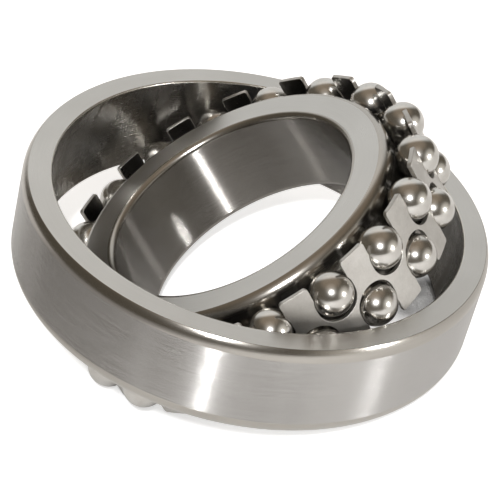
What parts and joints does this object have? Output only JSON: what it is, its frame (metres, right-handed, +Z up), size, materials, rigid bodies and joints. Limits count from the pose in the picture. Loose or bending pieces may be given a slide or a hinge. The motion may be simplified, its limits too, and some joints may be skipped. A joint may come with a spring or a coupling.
{
  "type": "self-aligning ball bearing",
  "caption": "Self-aligning ball bearing with a hollow spherical outer race; the inner ring, cage and ball rows lie swung out.",
  "frame": {"origin": "centre of the spherical race, which is the middle of the bore", "axes": "+Z up from the floor the bearing lies on; +Y along the swivel axis; the outer ring's axis leans towards +X and the inner ring's towards -X"},
  "size_m": [0.1006, 0.1, 0.048],
  "materials": {
    "ring_steel": "ground faces, polished races",
    "cage_steel": "pale matt pressed steel",
    "ball_steel": "mirror polished"
  },
  "bodies": {
    "outer_ring": {"outer_ring": "ring_steel"},
    "cage": {"cage": "cage_steel"},
    "inner_ring": {"inner_ring": "ring_steel"},
    "upper_ball_01": {"upper_ball_01": "ball_steel"},
    "upper_ball_02": {"upper_ball_02": "ball_steel"},
    "upper_ball_03": {"upper_ball_03": "ball_steel"},
    "upper_ball_04": {"upper_ball_04": "ball_steel"},
    "upper_ball_05": {"upper_ball_05": "ball_steel"},
    "upper_ball_06": {"upper_ball_06": "ball_steel"},
    "upper_ball_07": {"upper_ball_07": "ball_steel"},
    "upper_ball_08": {"upper_ball_08": "ball_steel"},
    "upper_ball_09": {"upper_ball_09": "ball_steel"},
    "upper_ball_10": {"upper_ball_10": "ball_steel"},
    "upper_ball_11": {"upper_ball_11": "ball_steel"},
    "upper_ball_12": {"upper_ball_12": "ball_steel"},
    "upper_ball_13": {"upper_ball_13": "ball_steel"},
    "upper_ball_14": {"upper_ball_14": "ball_steel"},
    "upper_ball_15": {"upper_ball_15": "ball_steel"},
    "upper_ball_16": {"upper_ball_16": "ball_steel"},
    "upper_ball_17": {"upper_ball_17": "ball_steel"},
    "upper_ball_18": {"upper_ball_18": "ball_steel"},
    "lower_ball_01": {"lower_ball_01": "ball_steel"},
    "lower_ball_02": {"lower_ball_02": "ball_steel"},
    "lower_ball_03": {"lower_ball_03": "ball_steel"},
    "lower_ball_04": {"lower_ball_04": "ball_steel"},
    "lower_ball_05": {"lower_ball_05": "ball_steel"},
    "lower_ball_06": {"lower_ball_06": "ball_steel"},
    "lower_ball_07": {"lower_ball_07": "ball_steel"},
    "lower_ball_08": {"lower_ball_08": "ball_steel"},
    "lower_ball_09": {"lower_ball_09": "ball_steel"},
    "lower_ball_10": {"lower_ball_10": "ball_steel"},
    "lower_ball_11": {"lower_ball_11": "ball_steel"},
    "lower_ball_12": {"lower_ball_12": "ball_steel"},
    "lower_ball_13": {"lower_ball_13": "ball_steel"},
    "lower_ball_14": {"lower_ball_14": "ball_steel"},
    "lower_ball_15": {"lower_ball_15": "ball_steel"},
    "lower_ball_16": {"lower_ball_16": "ball_steel"},
    "lower_ball_17": {"lower_ball_17": "ball_steel"},
    "lower_ball_18": {"lower_ball_18": "ball_steel"}
  },
  "joints": [
    {"name": "swivel", "type": "hinge", "parent": "outer_ring", "child": "cage", "pos_m": [0, 0, 0], "axis": [0, 1, 0], "range_deg": [-53, 127]},
    {"name": "inner_spin", "type": "hinge", "parent": "cage", "child": "inner_ring", "pos_m": [0, 0, 0], "axis": [-0.35, 0, 0.9368], "continuous": true},
    {"name": "upper_ball_01_roll", "type": "hinge", "parent": "cage", "child": "upper_ball_01", "pos_m": [0.03606, -0.00126, 0.01828], "axis": [-0.452, 0.0035, 0.892], "continuous": true},
    {"name": "upper_ball_02_roll", "type": "hinge", "parent": "cage", "child": "upper_ball_02", "pos_m": [0.0342, 0.01256, 0.01758], "axis": [-0.4468, -0.0347, 0.894], "continuous": true},
    {"name": "upper_ball_03_roll", "type": "hinge", "parent": "cage", "child": "upper_ball_03", "pos_m": [0.02802, 0.02486, 0.01527], "axis": [-0.4297, -0.0688, 0.9003], "continuous": true},
    {"name": "upper_ball_04_roll", "type": "hinge", "parent": "cage", "child": "upper_ball_04", "pos_m": [0.01827, 0.03416, 0.01163], "axis": [-0.4027, -0.0946, 0.9104], "continuous": true},
    {"name": "upper_ball_05_roll", "type": "hinge", "parent": "cage", "child": "upper_ball_05", "pos_m": [0.00613, 0.03935, 0.00709], "axis": [-0.3691, -0.1089, 0.923], "continuous": true},
    {"name": "upper_ball_06_roll", "type": "hinge", "parent": "cage", "child": "upper_ball_06", "pos_m": [-0.00695, 0.03979, 0.00221], "axis": [-0.3329, -0.1101, 0.9365], "continuous": true},
    {"name": "upper_ball_07_roll", "type": "hinge", "parent": "cage", "child": "upper_ball_07", "pos_m": [-0.01937, 0.03543, -0.00243], "axis": [-0.2986, -0.098, 0.9493], "continuous": true},
    {"name": "upper_ball_08_roll", "type": "hinge", "parent": "cage", "child": "upper_ball_08", "pos_m": [-0.02965, 0.02679, -0.00627], "axis": [-0.2701, -0.0742, 0.96], "continuous": true},
    {"name": "upper_ball_09_roll", "type": "hinge", "parent": "cage", "child": "upper_ball_09", "pos_m": [-0.03654, 0.01493, -0.00885], "axis": [-0.251, -0.0413, 0.9671], "continuous": true},
    {"name": "upper_ball_10_roll", "type": "hinge", "parent": "cage", "child": "upper_ball_10", "pos_m": [-0.03921, 0.00126, -0.00985], "axis": [-0.2436, -0.0035, 0.9699], "continuous": true},
    {"name": "upper_ball_11_roll", "type": "hinge", "parent": "cage", "child": "upper_ball_11", "pos_m": [-0.03735, -0.01256, -0.00915], "axis": [-0.2488, 0.0347, 0.9679], "continuous": true},
    {"name": "upper_ball_12_roll", "type": "hinge", "parent": "cage", "child": "upper_ball_12", "pos_m": [-0.03117, -0.02486, -0.00684], "axis": [-0.2659, 0.0688, 0.9615], "continuous": true},
    {"name": "upper_ball_13_roll", "type": "hinge", "parent": "cage", "child": "upper_ball_13", "pos_m": [-0.02142, -0.03416, -0.0032], "axis": [-0.2929, 0.0946, 0.9515], "continuous": true},
    {"name": "upper_ball_14_roll", "type": "hinge", "parent": "cage", "child": "upper_ball_14", "pos_m": [-0.00928, -0.03935, 0.00134], "axis": [-0.3265, 0.1089, 0.9389], "continuous": true},
    {"name": "upper_ball_15_roll", "type": "hinge", "parent": "cage", "child": "upper_ball_15", "pos_m": [0.0038, -0.03979, 0.00622], "axis": [-0.3627, 0.1101, 0.9254], "continuous": true},
    {"name": "upper_ball_16_roll", "type": "hinge", "parent": "cage", "child": "upper_ball_16", "pos_m": [0.01622, -0.03543, 0.01086], "axis": [-0.397, 0.098, 0.9125], "continuous": true},
    {"name": "upper_ball_17_roll", "type": "hinge", "parent": "cage", "child": "upper_ball_17", "pos_m": [0.0265, -0.02679, 0.0147], "axis": [-0.4255, 0.0742, 0.9019], "continuous": true},
    {"name": "upper_ball_18_roll", "type": "hinge", "parent": "cage", "child": "upper_ball_18", "pos_m": [0.03339, -0.01493, 0.01728], "axis": [-0.4446, 0.0413, 0.8948], "continuous": true},
    {"name": "lower_ball_01_roll", "type": "hinge", "parent": "cage", "child": "lower_ball_01", "pos_m": [0.03885, 0.00573, 0.00971], "axis": [-0.2447, 0.0159, 0.9695], "continuous": true},
    {"name": "lower_ball_02_roll", "type": "hinge", "parent": "cage", "child": "lower_ball_02", "pos_m": [0.03476, 0.019, 0.00818], "axis": [-0.256, 0.0526, 0.9653], "continuous": true},
    {"name": "lower_ball_03_roll", "type": "hinge", "parent": "cage", "child": "lower_ball_03", "pos_m": [0.02667, 0.02997, 0.00516], "axis": [-0.2783, 0.0829, 0.9569], "continuous": true},
    {"name": "lower_ball_04_roll", "type": "hinge", "parent": "cage", "child": "lower_ball_04", "pos_m": [0.01556, 0.03732, 0.00101], "axis": [-0.3091, 0.1033, 0.9454], "continuous": true},
    {"name": "lower_ball_05_roll", "type": "hinge", "parent": "cage", "child": "lower_ball_05", "pos_m": [0.00276, 0.04018, -0.00377], "axis": [-0.3445, 0.1112, 0.9322], "continuous": true},
    {"name": "lower_ball_06_roll", "type": "hinge", "parent": "cage", "child": "lower_ball_06", "pos_m": [-0.01019, 0.03819, -0.00861], "axis": [-0.3804, 0.1057, 0.9188], "continuous": true},
    {"name": "lower_ball_07_roll", "type": "hinge", "parent": "cage", "child": "lower_ball_07", "pos_m": [-0.02171, 0.03159, -0.01292], "axis": [-0.4123, 0.0874, 0.9069], "continuous": true},
    {"name": "lower_ball_08_roll", "type": "hinge", "parent": "cage", "child": "lower_ball_08", "pos_m": [-0.03043, 0.02118, -0.01617], "axis": [-0.4364, 0.0586, 0.8979], "continuous": true},
    {"name": "lower_ball_09_roll", "type": "hinge", "parent": "cage", "child": "lower_ball_09", "pos_m": [-0.03529, 0.00822, -0.01799], "axis": [-0.4498, 0.0227, 0.8928], "continuous": true},
    {"name": "lower_ball_10_roll", "type": "hinge", "parent": "cage", "child": "lower_ball_10", "pos_m": [-0.0357, -0.00573, -0.01814], "axis": [-0.451, -0.0159, 0.8924], "continuous": true},
    {"name": "lower_ball_11_roll", "type": "hinge", "parent": "cage", "child": "lower_ball_11", "pos_m": [-0.03161, -0.019, -0.01661], "axis": [-0.4396, -0.0526, 0.8966], "continuous": true},
    {"name": "lower_ball_12_roll", "type": "hinge", "parent": "cage", "child": "lower_ball_12", "pos_m": [-0.02352, -0.02997, -0.01359], "axis": [-0.4173, -0.0829, 0.905], "continuous": true},
    {"name": "lower_ball_13_roll", "type": "hinge", "parent": "cage", "child": "lower_ball_13", "pos_m": [-0.01241, -0.03732, -0.00944], "axis": [-0.3865, -0.1033, 0.9165], "continuous": true},
    {"name": "lower_ball_14_roll", "type": "hinge", "parent": "cage", "child": "lower_ball_14", "pos_m": [0.00039, -0.04018, -0.00466], "axis": [-0.3511, -0.1112, 0.9297], "continuous": true},
    {"name": "lower_ball_15_roll", "type": "hinge", "parent": "cage", "child": "lower_ball_15", "pos_m": [0.01334, -0.03819, 0.00018], "axis": [-0.3153, -0.1057, 0.9431], "continuous": true},
    {"name": "lower_ball_16_roll", "type": "hinge", "parent": "cage", "child": "lower_ball_16", "pos_m": [0.02486, -0.03159, 0.00448], "axis": [-0.2834, -0.0874, 0.955], "continuous": true},
    {"name": "lower_ball_17_roll", "type": "hinge", "parent": "cage", "child": "lower_ball_17", "pos_m": [0.03358, -0.02118, 0.00774], "axis": [-0.2592, -0.0586, 0.964], "continuous": true},
    {"name": "lower_ball_18_roll", "type": "hinge", "parent": "cage", "child": "lower_ball_18", "pos_m": [0.03844, -0.00822, 0.00956], "axis": [-0.2458, -0.0228, 0.9691], "continuous": true}
  ],
  "couplings": [
    {"joint": "upper_ball_01_roll", "follows": "inner_spin", "ratio": -7.814},
    {"joint": "upper_ball_02_roll", "follows": "inner_spin", "ratio": -7.814},
    {"joint": "upper_ball_03_roll", "follows": "inner_spin", "ratio": -7.814},
    {"joint": "upper_ball_04_roll", "follows": "inner_spin", "ratio": -7.814},
    {"joint": "upper_ball_05_roll", "follows": "inner_spin", "ratio": -7.814},
    {"joint": "upper_ball_06_roll", "follows": "inner_spin", "ratio": -7.814},
    {"joint": "upper_ball_07_roll", "follows": "inner_spin", "ratio": -7.814},
    {"joint": "upper_ball_08_roll", "follows": "inner_spin", "ratio": -7.814},
    {"joint": "upper_ball_09_roll", "follows": "inner_spin", "ratio": -7.814},
    {"joint": "upper_ball_10_roll", "follows": "inner_spin", "ratio": -7.814},
    {"joint": "upper_ball_11_roll", "follows": "inner_spin", "ratio": -7.814},
    {"joint": "upper_ball_12_roll", "follows": "inner_spin", "ratio": -7.814},
    {"joint": "upper_ball_13_roll", "follows": "inner_spin", "ratio": -7.814},
    {"joint": "upper_ball_14_roll", "follows": "inner_spin", "ratio": -7.814},
    {"joint": "upper_ball_15_roll", "follows": "inner_spin", "ratio": -7.814},
    {"joint": "upper_ball_16_roll", "follows": "inner_spin", "ratio": -7.814},
    {"joint": "upper_ball_17_roll", "follows": "inner_spin", "ratio": -7.814},
    {"joint": "upper_ball_18_roll", "follows": "inner_spin", "ratio": -7.814},
    {"joint": "lower_ball_01_roll", "follows": "inner_spin", "ratio": -7.814},
    {"joint": "lower_ball_02_roll", "follows": "inner_spin", "ratio": -7.814},
    {"joint": "lower_ball_03_roll", "follows": "inner_spin", "ratio": -7.814},
    {"joint": "lower_ball_04_roll", "follows": "inner_spin", "ratio": -7.814},
    {"joint": "lower_ball_05_roll", "follows": "inner_spin", "ratio": -7.814},
    {"joint": "lower_ball_06_roll", "follows": "inner_spin", "ratio": -7.814},
    {"joint": "lower_ball_07_roll", "follows": "inner_spin", "ratio": -7.814},
    {"joint": "lower_ball_08_roll", "follows": "inner_spin", "ratio": -7.814},
    {"joint": "lower_ball_09_roll", "follows": "inner_spin", "ratio": -7.814},
    {"joint": "lower_ball_10_roll", "follows": "inner_spin", "ratio": -7.814},
    {"joint": "lower_ball_11_roll", "follows": "inner_spin", "ratio": -7.814},
    {"joint": "lower_ball_12_roll", "follows": "inner_spin", "ratio": -7.814},
    {"joint": "lower_ball_13_roll", "follows": "inner_spin", "ratio": -7.814},
    {"joint": "lower_ball_14_roll", "follows": "inner_spin", "ratio": -7.814},
    {"joint": "lower_ball_15_roll", "follows": "inner_spin", "ratio": -7.814},
    {"joint": "lower_ball_16_roll", "follows": "inner_spin", "ratio": -7.814},
    {"joint": "lower_ball_17_roll", "follows": "inner_spin", "ratio": -7.814},
    {"joint": "lower_ball_18_roll", "follows": "inner_spin", "ratio": -7.814}
  ]
}
